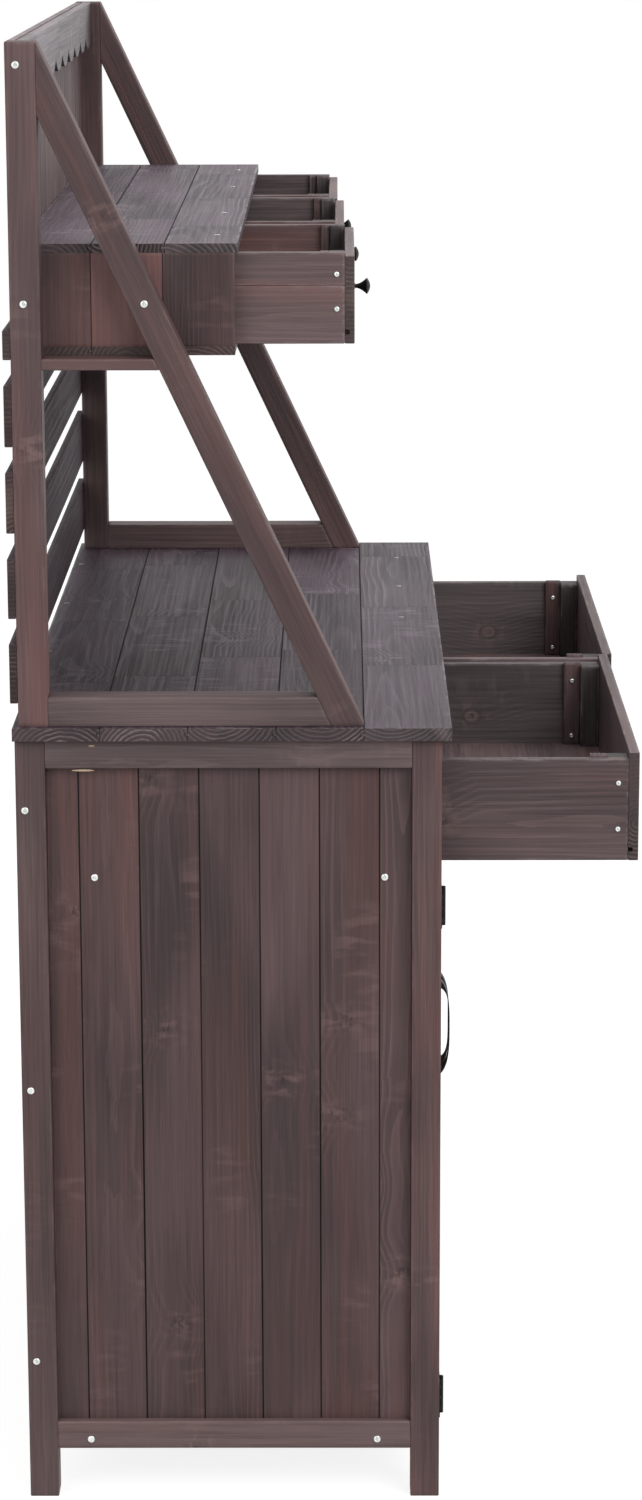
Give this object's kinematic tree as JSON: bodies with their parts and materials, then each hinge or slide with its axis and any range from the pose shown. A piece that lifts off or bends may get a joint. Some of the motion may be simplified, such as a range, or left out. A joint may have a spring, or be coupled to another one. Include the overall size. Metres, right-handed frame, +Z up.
{
  "type": "potting bench",
  "caption": "Wooden potting bench with boarded cabinet doors, large drawers under a worktop, and a braced hutch with small drawers, a slatted back and a scalloped top board.",
  "frame": {"origin": "on the floor, under the middle of the worktop", "axes": "+X to the right of someone facing the bench, +Y to the back, +Z up"},
  "size_m": [1.2, 0.7437, 1.709],
  "materials": {
    "frame_wood": "dark brown stain over softwood",
    "panel_wood": "dark brown stain over softwood",
    "worktop_wood": "dark brown stain with a satin sheen",
    "drawer_wood": "dark brown stain over softwood",
    "black_metal": "satin black",
    "zinc_steel": "zinc plated"
  },
  "bodies": {
    "bench": {"back_battens": "frame_wood", "back_boards": "panel_wood", "back_slats": "panel_wood", "cross_rails": "frame_wood", "drawer_runners": "frame_wood", "floor_boards": "panel_wood", "floor_cleats": "frame_wood", "frame_screws": "zinc_steel", "hinge_frame_leaves": "black_metal", "hinge_pins": "black_metal", "hutch_braces": "frame_wood", "hutch_posts": "frame_wood", "hutch_rails": "frame_wood", "leg_back_left": "frame_wood", "leg_back_right": "frame_wood", "leg_front_left": "frame_wood", "leg_front_right": "frame_wood", "shelf_bottom": "panel_wood", "shelf_dividers": "panel_wood", "shelf_ends": "panel_wood", "shelf_top": "worktop_wood", "side_boards": "panel_wood", "side_rails": "frame_wood", "upper_back_boards": "panel_wood", "valance": "frame_wood", "worktop_battens": "frame_wood", "worktop_boards": "worktop_wood"},
    "drawer_large_left": {"drawer_large_left_bottom": "drawer_wood", "drawer_large_left_box": "drawer_wood", "drawer_large_left_front": "drawer_wood", "drawer_large_left_knob": "black_metal", "drawer_large_left_screws": "zinc_steel"},
    "drawer_large_right": {"drawer_large_right_bottom": "drawer_wood", "drawer_large_right_box": "drawer_wood", "drawer_large_right_front": "drawer_wood", "drawer_large_right_knob": "black_metal", "drawer_large_right_screws": "zinc_steel"},
    "drawer_small_left": {"drawer_small_left_bottom": "drawer_wood", "drawer_small_left_box": "drawer_wood", "drawer_small_left_front": "drawer_wood", "drawer_small_left_knob": "black_metal", "drawer_small_left_screws": "zinc_steel"},
    "drawer_small_middle": {"drawer_small_middle_bottom": "drawer_wood", "drawer_small_middle_box": "drawer_wood", "drawer_small_middle_front": "drawer_wood", "drawer_small_middle_knob": "black_metal", "drawer_small_middle_screws": "zinc_steel"},
    "drawer_small_right": {"drawer_small_right_bottom": "drawer_wood", "drawer_small_right_box": "drawer_wood", "drawer_small_right_front": "drawer_wood", "drawer_small_right_knob": "black_metal", "drawer_small_right_screws": "zinc_steel"},
    "door_left": {"door_left_boards": "panel_wood", "door_left_handle": "black_metal", "door_left_hinge_leaves": "black_metal", "door_left_ledges": "frame_wood"},
    "door_right": {"door_right_boards": "panel_wood", "door_right_handle": "black_metal", "door_right_hinge_leaves": "black_metal", "door_right_ledges": "frame_wood"}
  },
  "joints": [
    {"name": "drawer_large_left_slide", "type": "slide", "parent": "bench", "child": "drawer_large_left", "axis": [0, -1, 0], "range_m": [-0.228, 0.102]},
    {"name": "drawer_large_right_slide", "type": "slide", "parent": "bench", "child": "drawer_large_right", "axis": [0, -1, 0], "range_m": [-0.234, 0.096]},
    {"name": "drawer_small_left_slide", "type": "slide", "parent": "bench", "child": "drawer_small_left", "axis": [0, -1, 0], "range_m": [-0.134, 0.026]},
    {"name": "drawer_small_middle_slide", "type": "slide", "parent": "bench", "child": "drawer_small_middle", "axis": [0, -1, 0], "range_m": [-0.1225, 0.0375]},
    {"name": "drawer_small_right_slide", "type": "slide", "parent": "bench", "child": "drawer_small_right", "axis": [0, -1, 0], "range_m": [-0.114, 0.046]},
    {"name": "door_left_hinge", "type": "hinge", "parent": "bench", "child": "door_left", "pos_m": [-0.555, -0.24205, 0.418], "axis": [0, 0, -1], "range_deg": [0, 110]},
    {"name": "door_right_hinge", "type": "hinge", "parent": "bench", "child": "door_right", "pos_m": [0.555, -0.24205, 0.418], "axis": [0, 0, 1], "range_deg": [0, 110]}
  ]
}
